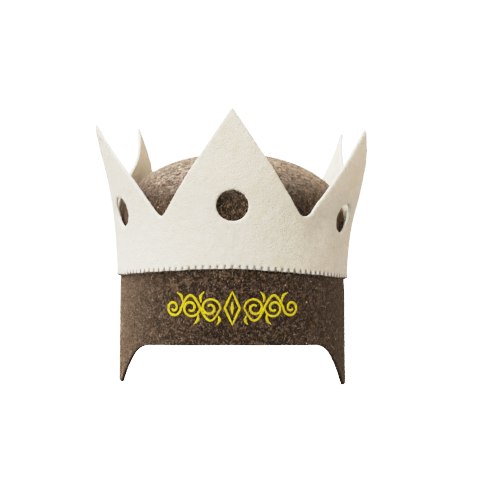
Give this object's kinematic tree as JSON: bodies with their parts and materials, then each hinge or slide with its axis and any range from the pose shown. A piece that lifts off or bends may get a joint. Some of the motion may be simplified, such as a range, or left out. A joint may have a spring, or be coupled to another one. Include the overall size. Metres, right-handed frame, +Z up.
{
  "type": "felt crown hat",
  "caption": "Domed felt cap with two ear flaps and a flared felt crown sewn round it, each pointed peak pierced by a round hole.",
  "frame": {"origin": "middle of the head opening, level with the cap's front edge; the ear flaps hang below it", "axes": "+Z up through the dome; the wearer looks along -Y; +X on the right of someone who faces the wearer"},
  "size_m": [0.2104, 0.257, 0.2089],
  "materials": {
    "brown_felt": "matte",
    "cream_felt": "matte"
  },
  "bodies": {
    "root": {"felt_cap": "brown_felt", "felt_crown": "cream_felt"}
  },
  "joints": []
}
